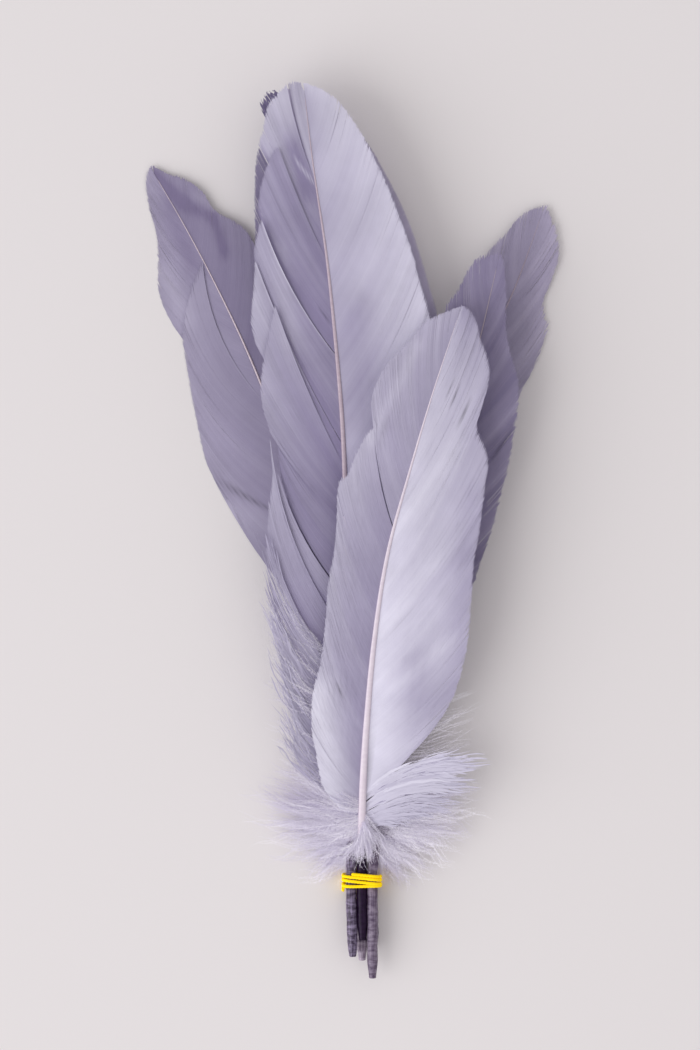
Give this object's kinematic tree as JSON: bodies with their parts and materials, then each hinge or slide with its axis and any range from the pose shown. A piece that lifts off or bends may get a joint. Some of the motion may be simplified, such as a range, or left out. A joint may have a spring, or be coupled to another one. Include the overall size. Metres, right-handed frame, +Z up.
{
  "type": "goose feather bunch",
  "caption": "Lavender-grey dyed goose feathers with downy feet, tied together round their bare quills with yellow thread and lying flat.",
  "frame": {"origin": "the middle of the bunch's length and width, on the surface that it lies on", "axes": "+Y runs from the quills to the feather tips, +X is to the right seen from above with the tips away, +Z is up"},
  "size_m": [0.0876, 0.1892, 0.0155],
  "materials": {
    "vane_light": "dyed feather barbs, soft satin",
    "vane_grey": "dyed feather barbs, soft satin",
    "vane_dark": "dyed feather barbs, soft satin",
    "down": "loose dyed down",
    "rachis": "pale keratin, satin",
    "quill": "dye-darkened horn, glossy with scuffs",
    "thread": "twisted yarn, matte"
  },
  "bodies": {
    "root": {"feather_front": "vane_light", "feather_centre": "vane_light", "feather_behind": "vane_dark", "feather_right_middle": "vane_dark", "feather_left": "vane_grey", "feather_right_back": "vane_dark", "thread_tie": "thread"}
  },
  "joints": []
}
